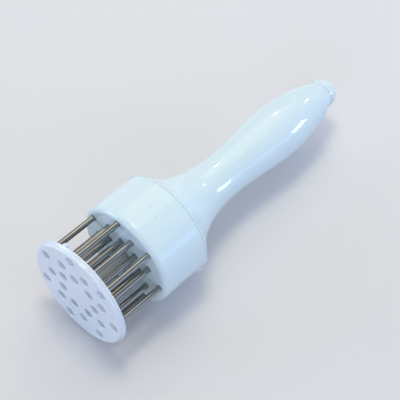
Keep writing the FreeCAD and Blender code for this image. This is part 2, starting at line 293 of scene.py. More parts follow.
def natural_curve(given: Sequence[tuple[float, float]], samples: int) -> list[tuple[float, float]]:
    """Samples the smooth curve through a few points, with no bend at its two ends.

    Args:
        given: The points that the curve goes through.
        samples: How many points to return.

    Returns:
        Points evenly spread along the curve's chords.
    """
    knots = np.array(given)
    chords = np.linalg.norm(np.diff(knots, axis=0), axis=1)
    lengths = np.concatenate(([0.0], np.cumsum(chords)))
    system = np.eye(len(knots))
    load = np.zeros_like(knots)
    for index in range(1, len(knots) - 1):
        before, after = chords[index - 1], chords[index]
        system[index, index - 1:index + 2] = before, 2 * (before + after), after
        rise = (knots[index + 1] - knots[index]) / after
        load[index] = 6 * (rise - (knots[index] - knots[index - 1]) / before)
    bends = np.linalg.solve(system, load)
    places = np.linspace(0.0, lengths[-1], samples)
    spans = np.clip(np.searchsorted(lengths, places) - 1, 0, len(chords) - 1)
    chord = chords[spans][:, None]
    ahead = lengths[spans + 1][:, None] - places[:, None]
    behind = places[:, None] - lengths[spans][:, None]
    curve = (bends[spans] * ahead**3 + bends[spans + 1] * behind**3) / (6 * chord)
    curve += (knots[spans] / chord - bends[spans] * chord / 6) * ahead
    curve += (knots[spans + 1] / chord - bends[spans + 1] * chord / 6) * behind
    return [(float(station), float(radius)) for station, radius in curve]


class NodeSheet:
    """Short calls that add and join the nodes of one material."""

    def __init__(self, name: str, axis: ToolAxis | None = None) -> None:
        """Starts a material with a Principled shader.

        Args:
            name: The material's name.
            axis: The tool's axis, where patterns follow it.
        """
        self.material = bpy.data.materials.new(name)
        self.material.use_nodes = True
        self.tree = self.material.node_tree
        self.shader = self.tree.nodes["Principled BSDF"]
        self.axis = axis

    def feed(self, socket: bpy.types.NodeSocket, value: object) -> None:
        """Joins a socket to another socket, or sets its value.

        Args:
            socket: The input that is fed.
            value: The other socket, or the value.
        """
        if isinstance(value, bpy.types.NodeSocket):
            self.tree.links.new(value, socket)
        else:
            socket.default_value = value

    def add(self, kind: str, inputs: dict[str | int, object], **settings: object) -> bpy.types.Node:
        """Adds a node.

        Args:
            kind: The node's type.
            inputs: What its inputs are fed, by name or number.
            settings: Its properties, set before its inputs.

        Returns:
            The node.
        """
        node = self.tree.nodes.new(kind)
        for name, value in settings.items():
            setattr(node, name, value)
        for name, value in inputs.items():
            self.feed(node.inputs[name], value)
        return node

    def object_space(self) -> bpy.types.NodeSocket:
        """Coordinates in metres in the row's frame."""
        return self.add("ShaderNodeTexCoord", {}).outputs["Object"]

    def tool_space(self, stretch: Sequence[float] = (1.0, 1.0, 1.0)) -> bpy.types.NodeSocket:
        """Coordinates in metres along and across the tool's axis.

        Args:
            stretch: How much a pattern is drawn out along each direction.

        Returns:
            The socket that gives them.
        """
        inputs = {
            "Vector": self.object_space(),
            "Location": self.axis.front,
            "Rotation": Euler((0.0, self.axis.tilt(), 0.0)),
            "Scale": Vector(stretch),
        }
        return self.add("ShaderNodeMapping", inputs, vector_type="TEXTURE").outputs["Vector"]

    def noise(
        self, place: object, scale: float, detail: float = 2.0, blur: float = 0.5
    ) -> bpy.types.NodeSocket:
        """Noise around a half, with features of one over scale metres."""
        inputs = {"Vector": place, "Scale": scale, "Detail": detail, "Roughness": blur}
        return self.add("ShaderNodeTexNoise", inputs).outputs[0]

    def math(self, operation: str, first: object, second: object = 0.0) -> bpy.types.NodeSocket:
        """One sum of two sockets or numbers."""
        return self.add("ShaderNodeMath", {0: first, 1: second}, operation=operation).outputs[0]

    def spread(
        self,
        value: object,
        source: Sequence[float],
        target: Sequence[float] = (0.0, 1.0),
        curve: str = "SMOOTHSTEP",
    ) -> bpy.types.NodeSocket:
        """Maps a range of a value on to another range.

        Args:
            value: The value that is read.
            source: The two ends of its range.
            target: What they become.
            curve: How the values between them run.

        Returns:
            The socket that gives the new value.
        """
        ends = dict(zip(("From Min", "From Max", "To Min", "To Max"), (*source, *target)))
        node = self.add("ShaderNodeMapRange", {"Value": value, **ends}, interpolation_type=curve)
        return node.outputs["Result"]

    def blend(self, share: object, first: object, second: object) -> bpy.types.NodeSocket:
        """Mixes two colours by a share."""
        return self.add("ShaderNodeMix", {0: share, 6: first, 7: second}, data_type="RGBA").outputs[2]

    def bump(self, height: object, depth: float, under: object = None) -> bpy.types.NodeSocket:
        """Relief of a surface.

        Args:
            height: One at its top and zero at its bottom.
            depth: Its depth in metres.
            under: Other relief that it lies over.

        Returns:
            The socket that gives the surface's direction.
        """
        inputs = {"Strength": 1.0, "Distance": depth, "Height": height}
        if under is not None:
            inputs["Normal"] = under
        return self.add("ShaderNodeBump", inputs).outputs["Normal"]

    def finish(self, **inputs: object) -> bpy.types.Material:
        """Feeds the shader's sockets, with spaces in their names written as underscores."""
        for name, value in inputs.items():
            self.feed(self.shader.inputs[name.replace("_", " ")], value)
        return self.material


@dataclass(frozen=True)
class MouldedPlastic:
    """Glossy white plastic from a mould, with flow marks, faint orange peel and fine wear."""

    name: str
    colour: Colour = (0.735, 0.87, 0.9, 1.0)
    flow_colour: Colour = (0.705, 0.84, 0.87, 1.0)
    line_colour: Colour = (0.5, 0.57, 0.62, 1.0)
    gloss: float = 0.05
    wear: float = 0.08
    softness: float = 0.06
    refraction: float = 1.52
    peel_depth: float = 0.000006
    grain_depth: float = 0.0000008
    seam_degrees: float | None = None
    seam_half_width: float = 0.00011
    seam_depth: float = 0.000015
    seam_tint: float = 0.22

    def seam_line(self, sheet: NodeSheet) -> bpy.types.NodeSocket:
        """Finds the two lines where the mould's halves met.

        Args:
            sheet: The finish's nodes.

        Returns:
            The socket that gives one on the lines and zero elsewhere.
        """
        angle = math.radians(self.seam_degrees)
        across = Vector((0.0, -math.sin(angle), math.cos(angle)))
        inputs = {0: sheet.tool_space(), 1: across}
        dot = sheet.add("ShaderNodeVectorMath", inputs, operation="DOT_PRODUCT")
        off_seam = sheet.math("ABSOLUTE", dot.outputs["Value"])
        return sheet.spread(off_seam, (0.3 * self.seam_half_width, self.seam_half_width), (1.0, 0.0))

    def material(self, axis: ToolAxis) -> bpy.types.Material:
        """Builds the finish as nodes on the tool's own coordinates.

        Args:
            axis: The tool's axis.

        Returns:
            The material.
        """
        sheet = NodeSheet(self.name, axis)
        flow = sheet.noise(sheet.tool_space((3.0, 1.0, 1.0)), 45.0, 3.0)
        cloud = sheet.noise(sheet.tool_space(), 420.0, 2.0)
        peel = sheet.noise(sheet.tool_space(), 700.0, 2.0)
        grain = sheet.noise(sheet.tool_space(), 5200.0, 2.0)
        scuffs = sheet.noise(sheet.tool_space((6.0, 0.5, 0.5)), 900.0, 5.0, 0.7)
        colour = sheet.blend(sheet.spread(flow, (0.35, 0.7)), self.colour, self.flow_colour)
        shade = sheet.spread(cloud, (0.3, 0.75), (0.0, 0.2))
        colour = sheet.blend(shade, colour, self.flow_colour)
        relief = sheet.bump(grain, self.grain_depth, sheet.bump(peel, self.peel_depth))
        if self.seam_degrees is not None:
            line = self.seam_line(sheet)
            colour = sheet.blend(sheet.math("MULTIPLY", line, self.seam_tint), colour, self.line_colour)
            relief = sheet.bump(line, self.seam_depth, relief)
        worn = sheet.spread(scuffs, (0.5, 0.75), (self.gloss, self.gloss + self.wear))
        return sheet.finish(
            Base_Color=colour,
            Roughness=worn,
            Normal=relief,
            IOR=self.refraction,
            Subsurface_Weight=self.softness,
            Subsurface_Radius=(1.0, 1.0, 1.0),
            Subsurface_Scale=0.0012,
        )


@dataclass(frozen=True)
class DrawnSteel:
    """Steel wire with the fine lines that drawing through a die leaves along it."""

    name: str
    bright: Colour = (0.4, 0.395, 0.37, 1.0)
    dull: Colour = (0.28, 0.28, 0.26, 1.0)
    gloss: float = 0.13
    dulling: float = 0.07
    line_depth: float = 0.000001
    pit_depth: float = 0.0000012

    def material(self, axis: ToolAxis) -> bpy.types.Material:
        """Builds the finish as nodes on the tool's own coordinates.

        Args:
            axis: The tool's axis.

        Returns:
            The material.
        """
        sheet = NodeSheet(self.name, axis)
        drawn = sheet.noise(sheet.tool_space((400.0, 1.0, 1.0)), 4200.0, 2.0, 0.6)
        patches = sheet.noise(sheet.tool_space((8.0, 1.0, 1.0)), 260.0, 3.0)
        pits = sheet.noise(sheet.tool_space(), 3800.0, 2.0)
        lines = sheet.math("MULTIPLY", drawn, 0.6)
        tone = sheet.math("ADD", lines, sheet.math("MULTIPLY", patches, 0.4))
        colour = sheet.blend(sheet.spread(tone, (0.38, 0.62)), self.dull, self.bright)
        roughness = sheet.spread(patches, (0.35, 0.7), (self.gloss, self.gloss + self.dulling))
        pitted = sheet.spread(pits, (0.66, 0.84), (1.0, 0.0))
        relief = sheet.bump(pitted, self.pit_depth, sheet.bump(drawn, self.line_depth))
        return sheet.finish(Base_Color=colour, Metallic=1.0, Roughness=roughness, Normal=relief)


@dataclass(frozen=True)
class PlatedSteel:
    """Bright zinc plating with a fine crystal grain, for washers and screws."""

    name: str
    bright: Colour = (0.68, 0.68, 0.66, 1.0)
    dull: Colour = (0.55, 0.56, 0.56, 1.0)

    def material(self, axis: ToolAxis) -> bpy.types.Material:
        """Builds the finish as nodes on the tool's own coordinates.

        Args:
            axis: The tool's axis.

        Returns:
            The material.
        """
        sheet = NodeSheet(self.name, axis)
        grain = sheet.noise(sheet.tool_space(), 2600.0, 4.0, 0.65)
        clouds = sheet.noise(sheet.tool_space(), 320.0, 2.0)
        colour = sheet.blend(sheet.spread(grain, (0.35, 0.65)), self.dull, self.bright)
        roughness = sheet.spread(clouds, (0.3, 0.7), (0.22, 0.4))
        return sheet.finish(
            Base_Color=colour,
            Metallic=1.0,
            Roughness=roughness,
            Normal=sheet.bump(grain, 0.000004),
        )


@dataclass(frozen=True)
class DarkSpeck:
    """Burnt plastic or grit, dull and nearly black."""

    name: str
    colour: Colour = (0.1, 0.1, 0.085, 1.0)
    edge_colour: Colour = (0.22, 0.22, 0.2, 1.0)

    def material(self, axis: ToolAxis) -> bpy.types.Material:
        """Builds the finish as nodes on the tool's own coordinates.

        Args:
            axis: The tool's axis.

        Returns:
            The material.
        """
        sheet = NodeSheet(self.name, axis)
        grain = sheet.noise(sheet.tool_space(), 5000.0, 2.0)
        colour = sheet.blend(sheet.spread(grain, (0.3, 0.7)), self.colour, self.edge_colour)
        return sheet.finish(Base_Color=colour, Roughness=sheet.spread(grain, (0.3, 0.7), (0.5, 0.8)))


@dataclass
class Workshop:
    """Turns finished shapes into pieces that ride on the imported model."""

    frame: dict
    axis: ToolAxis

    def mesh_object(self, name: str, shape: bmesh.types.BMesh) -> bpy.types.Object:
        """Makes an object of a shape that is still in millimetres about the axis.

        Args:
            name: The object's name.
            shape: The shape, which is freed.

        Returns:
            The object, smooth but for its sharp edges, placed in the row's frame.
        """
        shape.transform(self.axis.to_row())
        mesh = bpy.data.meshes.new(name)
        shape.to_mesh(mesh)
        shape.free()
        mesh.shade_smooth()
        mesh.set_sharp_from_angle(angle=CREASE_ANGLE)
        made = bpy.data.objects.new(name, mesh)
        bpy.context.scene.collection.objects.link(made)
        return made

    def even_shading(self, made: bpy.types.Object) -> None:
        """Lets the large faces of a piece set the shading at its roundings.

        Args:
            made: The piece.
        """
        shading = made.modifiers.new("even shading", "WEIGHTED_NORMAL")
        shading.keep_sharp = True
        shading.weight = 60

    def drill(self, made: bpy.types.Object, cutter: bmesh.types.BMesh) -> None:
        """Cuts a shape out of an object and keeps the result as its mesh.

        Args:
            made: The object that is cut.
            cutter: Closed shapes in millimetres about the axis, which are freed.
        """
        tool = self.mesh_object("cutter", cutter)
        cut = made.modifiers.new("cut", "BOOLEAN")
        cut.operation = "DIFFERENCE"
        cut.solver = "EXACT"
        cut.object = tool
        depsgraph = bpy.context.evaluated_depsgraph_get()
        finished = bpy.data.meshes.new_from_object(made.evaluated_get(depsgraph))
        made.modifiers.remove(cut)
        old = made.data
        made.data = finished
        finished.name = made.name
        bpy.data.meshes.remove(old)
        tool_mesh = tool.data
        bpy.data.objects.remove(tool)
        bpy.data.meshes.remove(tool_mesh)
        finished.shade_smooth()
        finished.set_sharp_from_angle(angle=CREASE_ANGLE)

    def deliver(
        self,
        made: bpy.types.Object,
        material: bpy.types.Material,
        body: Body,
        nodes: Sequence[str] = (),
    ) -> bpy.types.Object:
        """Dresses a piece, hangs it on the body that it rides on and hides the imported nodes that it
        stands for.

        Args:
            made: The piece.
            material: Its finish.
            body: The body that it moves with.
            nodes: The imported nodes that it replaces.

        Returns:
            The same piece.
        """
        made.data.materials.clear()
        made.data.materials.append(material)
        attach(made, body.value)
        if nodes:
            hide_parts(*nodes)
        LOG.info("%s: %d faces on %s", made.name, len(made.data.polygons), body.value)
        return made

    def dress_node(self, name: str, material: bpy.types.Material) -> None:
        """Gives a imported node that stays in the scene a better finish.

        Args:
            name: The node.
            material: Its finish.
        """
        for slot in self.frame["nodes"][name].material_slots:
            slot.material = material
        LOG.info("%s keeps its packed mesh", name)


@dataclass(frozen=True)
class NeedlePattern:
    """Three rings of seven needles, the middle ring turned by half a pitch."""

    count_in_ring: int = 7
    inner_radius: float = 11.25
    middle_radius: float = 17.75
    outer_radius: float = 24.05
    first_angle: float = 31.2

    def places(self) -> Iterator[tuple[str, Matrix]]:
        """Name of each needle's node, and where it stands about the axis.

        Yields:
            The name and the matrix, ring by ring.
        """
        pitch = 360.0 / self.count_in_ring
        rings = (
            ("inner", self.inner_radius, 0.0),
            ("middle", self.middle_radius, pitch / 2),
            ("outer", self.outer_radius, 0.0),
        )
        for ring, radius, offset in rings:
            for index in range(self.count_in_ring):
                angle = self.first_angle + offset + index * pitch
                yield f"needle_{ring}_{index + 1}", on_ring(radius, angle)


@dataclass
class GuidePlate:
    """Front plate with 21 rounded holes, a stepped rim, a stem socket and a peg on its back."""

    pattern: NeedlePattern
    thickness: float = 3.0
    radius: float = 28.9
    edge_rounding: float = 0.9
    rim_radius: float = 29.6
    rim_width: float = 1.0
    rim_rounding: float = 0.25
    step_fillet: float = 0.5
    step_rounding: float = 0.3
    hole_radius: float = 2.45
    hole_lip: float = 0.8
    hole_land: float = 0.12
    hole_back_lip: float = 0.2
    socket_radius: float = 7.0
    socket_height: float = 3.4
    socket_bore: float = 4.27
    socket_floor: float = 1.6
    socket_foot: float = 0.6
    socket_fillet: float = 0.5
    socket_rounding: float = 0.25
    gate_radius: float = 1.3
    gate_depth: float = 0.35
    gate_offset: float = 2.42
    gate_angle: float = 60.7
    peg_radius: float = 1.6
    peg_height: float = 2.9
    peg_rounding: float = 0.8
    peg_ring: float = 26.4
    peg_angle: float = 65.3
    ejector_radius: float = 2.0
    ejector_depth: float = 0.15
    ejector_ring: float = 21.0
    ejector_count: int = 4
    ejector_pitch: float = 4.0
    nick_angle: float = 138.4
    nick_width: float = 1.3
    nick_depth: float = 0.28
    steps: int = 160
    hole_steps: int = 48

    def hole(self) -> bmesh.types.BMesh:
        """Lining of one hole, rounded at the front and eased at the back.

        Returns:
            The lining about the axis.
        """
        lip = self.hole_radius + self.hole_lip
        back_lip = self.hole_radius + self.hole_back_lip
        return turned(
            [
                Corner(0.0, lip + self.hole_land),
                Corner(0.0, self.hole_radius, self.hole_lip),
                Corner(self.thickness, self.hole_radius, self.hole_back_lip),
                Corner(self.thickness, back_lip + self.hole_land),
            ],
            self.hole_steps,
        )

    def outside(self) -> bmesh.types.BMesh:
        """Edge of the plate, from its flat front round the rim to its flat back.

        Returns:
            The edge, open towards the middle on both sides.
        """
        rim_start = self.thickness - self.rim_width
        slope = (self.rim_radius - self.radius) / 2
        return turned(
            [
                Corner(0.0, self.radius - self.edge_rounding - self.hole_land),
                Corner(0.0, self.radius, self.edge_rounding),
                Corner(rim_start - slope, self.radius, self.step_fillet),
                Corner(rim_start + slope, self.rim_radius, self.step_rounding),
                Corner(self.thickness, self.rim_radius, self.rim_rounding),
                Corner(self.thickness, self.rim_radius - self.rim_rounding - self.hole_land),
            ],
            self.steps,
        )

    def socket(self) -> bmesh.types.BMesh:
        """Socket that takes the stem."""
        end = self.thickness + self.socket_height
        return turned(
            [
                Corner(self.thickness, self.socket_radius + self.socket_foot),
                Corner(self.thickness, self.socket_radius, self.socket_fillet),
                Corner(end, self.socket_radius, self.socket_rounding),
                Corner(end, self.socket_bore, 0.1),
                Corner(self.socket_floor, self.socket_bore),
                Corner(self.socket_floor, 0.0),
            ],
            self.steps // 2,
        )

    def gate_mark(self) -> bmesh.types.BMesh:
        """Shallow round pit with a broken stub, where the plastic was let into the mould."""
        stub = self.gate_radius / 3
        return turned(
            [
                Corner(0.0, self.gate_radius + self.hole_land),
                Corner(0.0, self.gate_radius, self.hole_land),
                Corner(self.gate_depth, self.gate_radius - self.gate_depth),
                Corner(self.gate_depth, stub),
                Corner(self.gate_depth / 3, stub * 0.8),
                Corner(self.gate_depth / 2, 0.0),
            ],
            32,
            arc_steps=4,
        )

    def peg(self) -> bmesh.types.BMesh:
        """Short round peg on the back."""
        end = self.thickness + self.peg_height
        return turned(
            [
                Corner(self.thickness, self.peg_radius + 0.4),
                Corner(self.thickness, self.peg_radius, 0.3),
                Corner(end, self.peg_radius, self.peg_rounding),
                Corner(end, 0.0),
            ],
            32,
        )

    def ejector_mark(self) -> bmesh.types.BMesh:
        """Shallow disc that an ejector pin left on the back."""
        floor = self.thickness - self.ejector_depth
        return turned(
            [
                Corner(self.thickness, self.ejector_radius + 0.1),
                Corner(self.thickness, self.ejector_radius),
                Corner(floor, self.ejector_radius - self.ejector_depth),
                Corner(floor, 0.0),
            ],
            32,
        )

    def nick(self, shape: bmesh.types.BMesh) -> None:
        """Dents the rim where the plate was knocked.

        Args:
            shape: The plate's edge.
        """
        angle = math.radians(self.nick_angle)
        outward = Vector((0.0, math.cos(angle), math.sin(angle)))
        place = AXIS * self.thickness + outward * self.rim_radius
        for vertex in shape.verts:
            away = (vertex.co - place).length / self.nick_width
            if away < 1.0:
                vertex.co -= outward * self.nick_depth * (1.0 - away) ** 0.5

    def build(self, shop: Workshop, material: bpy.types.Material) -> None:
        """Makes the plate in one closed mesh and hands it to the frame.

        Args:
            shop: Takes the finished piece.
            material: Its finish.
        """
        shape = self.outside()
        self.nick(shape)
        absorb(shape, self.socket())
        for _, place in self.pattern.places():
            absorb(shape, self.hole(), place)
        absorb(shape, self.gate_mark(), on_ring(self.gate_offset, self.gate_angle))
        absorb(shape, self.peg(), on_ring(self.peg_ring, self.peg_angle))
        half_pitch = 180.0 / self.pattern.count_in_ring
        for index in range(self.ejector_count):
            angle = self.pattern.first_angle + half_pitch * (0.5 + index * self.ejector_pitch)
            absorb(shape, self.ejector_mark(), on_ring(self.ejector_ring, angle))
        fill_flat(shape, 0.0)
        fill_flat(shape, self.thickness)
        tidy(shape)
        made = shop.mesh_object("plate_moulding", shape)
        shop.even_shading(made)
        shop.deliver(made, material, Body.GUIDE, ["guide_plate"])


@dataclass
class GuideStem:
    """Round plastic stem that carries the plate."""

    start: float = 1.6
    end: float = 48.8
    radius: float = 4.25
    chamfer: float = 0.4
    pilot_radius: float = 1.52
    pilot_start: float = 38.4

    def build(self, shop: Workshop, material: bpy.types.Material) -> None:
        """Turns the stem and hands it to the frame.

        Args:
            shop: Takes the finished piece.
            material: Its finish.
        """
        shape = turned(
            [
                Corner(self.start, 0.0),
                Corner(self.start, self.radius - self.chamfer),
                Corner(self.start + self.chamfer, self.radius),
                Corner(self.end, self.radius, 0.1),
                Corner(self.end, self.pilot_radius),
                Corner(self.pilot_start, self.pilot_radius),
                Corner(self.pilot_start, 0.0),
            ],
            64,
        )
        made = shop.mesh_object("stem_rod", shape)
        shop.even_shading(made)
        shop.deliver(made, material, Body.GUIDE, ["guide_stem"])


@dataclass
class NeedleField:
    """The 21 steel needles, each with a ground point and an upset head."""

    pattern: NeedlePattern
    tip: float = 0.9
    point_length: float = 3.4
    point_radius: float = 0.2
    radius: float = 1.5
    head_start: float = 34.8
    head_end: float = 36.3
    head_radius: float = 2.0
    steps: int = 40

    def needle(self) -> bmesh.types.BMesh:
        """One needle about the axis."""
        return turned(
            [
                Corner(self.tip, 0.0),
                Corner(self.tip, self.point_radius, 0.08),
                Corner(self.tip + self.point_length, self.radius, 0.5),
                Corner(self.head_start, self.radius),
                Corner(self.head_start, self.head_radius, 0.15),
                Corner(self.head_end, self.head_radius, 0.3),
                Corner(self.head_end, 0.0),
            ],
            self.steps,
            arc_steps=4,
        )

    def build(self, shop: Workshop, material: bpy.types.Material) -> None:
        """Makes every needle a piece of its own.

        Args:
            shop: Takes the finished piece.
            material: Its finish.
        """
        for node, place in self.pattern.places():
            shape = self.needle()
            bmesh.ops.transform(shape, matrix=place, verts=shape.verts[:])
            made = shop.mesh_object(f"rod_{node}", shape)
            shop.even_shading(made)
            shop.deliver(made, material, Body.HANDLE, [node])


@dataclass
class HeadCup:
    """Cup with a thick drilled face, a rounded front and a boss for the stem."""

    pattern: NeedlePattern
    face: float = 30.8
    length: float = 28.0
    front_radius: float = 28.3
    back_radius: float = 28.0
    front_rounding: float = 2.8
    back_rounding: float = 0.15
    inner_radius: float = 26.2
    face_thickness: float = 5.5
    boss_radius: float = 7.5
    boss_length: float = 12.5
    bore_radius: float = 4.33
    needle_bore: float = 1.6
    head_bore: float = 2.05
    head_start: float = 34.8
    mouth_width: float = 0.22
    cut_margin: float = 0.5
    slit_radius: float = 17.05
    slit_angle: float = 185.8
    slit_turn: float = 62.0
    slit_length: float = 2.5
    slit_width: float = 0.5
    slit_depth: float = 0.35
    steps: int = 160

    def floor(self) -> float:
        """Station of the inner side of the face."""
        return self.face + self.face_thickness

    def boss_end(self) -> float:
        """Station of the boss's end."""
        return self.floor() + self.boss_length

    def back(self) -> float:
        """Station of the cup's open end."""
        return self.face + self.length

    def radius_at(self, station: float) -> float:
        """Outer radius of the cup's side at a station."""
        share = (station - self.face) / self.length
        return self.front_radius + (self.back_radius - self.front_radius) * share

    def body(self) -> bmesh.types.BMesh:
        """The undrilled cup."""
        return turned(
            [
                Corner(self.face, self.bore_radius, 0.2),
                Corner(self.face, self.front_radius, self.front_rounding),
                Corner(self.back(), self.back_radius, self.back_rounding),
                Corner(self.back(), self.inner_radius),
                Corner(self.floor(), self.inner_radius, 0.5),
                Corner(self.floor(), self.boss_radius, 0.5),
                Corner(self.boss_end(), self.boss_radius, 0.3),
                Corner(self.boss_end(), self.bore_radius),
            ],
            self.steps,
            closed=True,
            arc_steps=12,
        )

    def bore(self) -> bmesh.types.BMesh:
        """Cutter for one needle: a small countersink, the bore and the room for the head."""
        mouth = self.needle_bore + self.mouth_width
        return turned(
            [
                Corner(self.face - self.cut_margin, 0.0),
                Corner(self.face - self.cut_margin, mouth + self.cut_margin),
                Corner(self.face + self.mouth_width, self.needle_bore),
                Corner(self.head_start, self.needle_bore),
                Corner(self.head_start, self.head_bore),
                Corner(self.floor() + self.cut_margin, self.head_bore),
                Corner(self.floor() + self.cut_margin, 0.0),
            ],
            32,
        )

    def slit(self) -> bmesh.types.BMesh:
        """Cutter for the short slit beside a needle.

        Returns:
            A block with rounded corners about the axis.
        """
        shape = bmesh.new()
        size = Vector((2 * self.slit_depth, self.slit_width, self.slit_length))
        bmesh.ops.create_cube(shape, size=1.0, matrix=Matrix.Diagonal(size).to_4x4())
        deep_edges = [
            edge for edge in shape.edges if abs(edge.verts[0].co.x - edge.verts[1].co.x) > SAME_PLACE
        ]
        bmesh.ops.bevel(
            shape,
            geom=deep_edges,
            offset=self.slit_width * 0.45,
            offset_type="OFFSET",
            segments=4,
            profile=0.5,
            affect="EDGES",
            material=-1,
        )
        turn = Matrix.Rotation(math.radians(self.slit_turn), 4, "X")
        bmesh.ops.transform(shape, matrix=turn, verts=shape.verts[:])
        return shape

    def build(self, shop: Workshop, material: bpy.types.Material) -> None:
        """Turns the cup, drills it and hands it to the frame.

        Args:
            shop: Takes the finished piece.
            material: Its finish.
        """
        made = shop.mesh_object("cup_moulding", self.body())
        cutter = bmesh.new()
        for _, place in self.pattern.places():
            absorb(cutter, self.bore(), place)
        to_face = Matrix.Translation(AXIS * self.face)
        absorb(cutter, self.slit(), to_face @ on_ring(self.slit_radius, self.slit_angle))
        shop.drill(made, cutter)
        shop.even_shading(made)
        shop.deliver(made, material, Body.HANDLE, ["head_cup"])


@dataclass
class Handle:
    """Hollow moulded handle in two halves, with a spigot that goes into the cup."""

    foot: float = 58.8
    foot_radius: float = 28.2
    foot_land: float = 0.6
    foot_rounding: float = 0.15
    stretches: tuple[tuple[float, float], ...] = (
        (8.8, 20.7),
        (14.0, 14.2),
        (16.9, 11.9),
        (21.0, 12.9),
        (23.5, 14.7),
        (17.0, 13.2),
        (11.4, 10.7),
        (7.7, 7.8),
    )
    end_groove: float = 0.5
    end_ease: float = 0.2
    wall: float = 2.2
    spigot_length: float = 3.5
    spigot_radius: float = 26.0
    spigot_inner: float = 24.2
    spigot_land: float = 1.4
    neck_bore: float = 9.2
    neck_bore_start: float = 90.0
    step_radius: float = 8.2
    seat_back: float = 96.0
    step_end: float = 101.0
    plug_bore: float = 5.82
    plug_length: float = 7.5
    seam_degrees: float = 116.0
    seam_slope: float = 0.055
    seam_reach: float = 22.0
    steps: int = 180
    samples: int = 110

    def knots(self) -> list[tuple[float, float]]:
        """Points that the outside curve goes through.

        Returns:
            Station and radius of each point.
        """
        station = self.foot
        knots = [(station + self.foot_land, self.foot_radius)]
        for run, radius in self.stretches:
            station += run
            knots.append((station, radius))
        return knots

    def outside(self) -> list[tuple[float, float]]:
        """Station and radius of each sample of the outside curve."""
        return natural_curve(self.knots(), self.samples)

    def radius_at(self, station: float) -> float:
        """Outer radius of the handle at a station."""
        return float(np.interp(station, *np.array(self.outside()).T))

    def end(self) -> float:
        """Station of the handle's open end."""
        return self.knots()[-1][0] + self.end_groove

    def inside(self, outside: Sequence[tuple[float, float]], first: float, last: float) -> list[Corner]:
        """Points of the cavity, one wall in from a stretch of the outside curve.

        Args:
            outside: The sampled outside curve.
            first: Station where the stretch starts.
            last: Station where it ends.

        Returns:
            The cavity's points from first to last.
        """
        corners = []
        for (before, low), (after, high) in zip(outside, outside[2:]):
            middle = (before + after) / 2
            slope = math.atan2(high - low, after - before)
            station = middle + math.sin(slope) * self.wall
            if first < station < last:
                corners.append(Corner(station, (low + high) / 2 - math.cos(slope) * self.wall))
        return corners

    def outline(self) -> list[Corner]:
        """Closed outline: out over the spigot and the grip, and back through the cavity.

        Returns:
            The outline's corners in order.
        """
        outside = self.outside()
        end_radius = outside[-1][1] - self.end_ease
        plug_start = self.end() - self.plug_length
        spigot_start = self.foot - self.spigot_length
        grip_cavity = self.inside(outside, self.step_end + 4.0, plug_start - 1.0)
        funnel = self.inside(outside, self.foot + self.spigot_land + 2.0, self.neck_bore_start - 4.0)
        return [
            Corner(spigot_start, self.spigot_inner),
            Corner(spigot_start, self.spigot_radius, 0.3),
            Corner(self.foot, self.spigot_radius),
            Corner(self.foot, self.foot_radius, self.foot_rounding),
            *(Corner(station, radius) for station, radius in outside),
            Corner(self.end(), end_radius),
            Corner(self.end(), self.plug_bore),
            Corner(plug_start, self.plug_bore),
            *reversed(grip_cavity),
            Corner(self.step_end, self.step_radius),
            Corner(self.seat_back, self.step_radius),
            Corner(self.seat_back, self.neck_bore),
            Corner(self.neck_bore_start, self.neck_bore),
            *reversed(funnel),
            Corner(self.foot + self.spigot_land, self.spigot_inner),
        ]

    def raise_seam(self, shape: bmesh.types.BMesh) -> None:
        """Draws the outside up to a fine ridge on both lines where the mould's halves met.

        Args:
            shape: The turned handle.
        """
        stations, radii = np.array(self.outside()).T
        for vertex in shape.verts:
            station, across, up = vertex.co
            off_surface = abs(math.hypot(across, up) - np.interp(station, stations, radii))
            if stations[0] < station < stations[-1] and off_surface < self.wall / 10:
                degrees = math.degrees(math.atan2(up, across)) - self.seam_degrees
                off = abs((degrees + 90.0) % 180.0 - 90.0)
                sink = self.seam_slope * math.radians(off) * math.exp(-off / self.seam_reach)
                vertex.co.y -= across * sink
                vertex.co.z -= up * sink

    def build(self, shop: Workshop, material: bpy.types.Material) -> None:
        """Turns the handle, raises its seam and hands it to the frame.

        Args:
            shop: Takes the finished piece.
            material: Its finish.
        """
        shape = turned(self.outline(), self.steps, closed=True, start_degrees=self.seam_degrees)
        self.raise_seam(shape)
        made = shop.mesh_object("handle_moulding", shape)
        self.crease_seam(made, shop.axis)
        shop.deliver(made, material, Body.HANDLE, ["handle_shell"])

    def crease_seam(self, made: bpy.types.Object, axis: ToolAxis) -> None:
        """Marks the edges along the seam as sharp.

        Args:
            made: The handle.
            axis: The tool's axis.
        """
        angle = math.radians(self.seam_degrees)
        normal = axis.up() * math.cos(angle) - Vector((0.0, 1.0, 0.0)) * math.sin(angle)
        sharp = made.data.attributes["sharp_edge"].data
        points = made.data.vertices
        for edge in made.data.edges:
            ends = [points[index].co - axis.front for index in edge.vertices]
            on_seam = all(abs(end.dot(normal)) < SAME_PLACE * MILLIMETRE for end in ends)
            if on_seam and (ends[1] - ends[0]).normalized().dot(axis.along) ** 2 > 0.04:
                sharp[edge.index].value = True


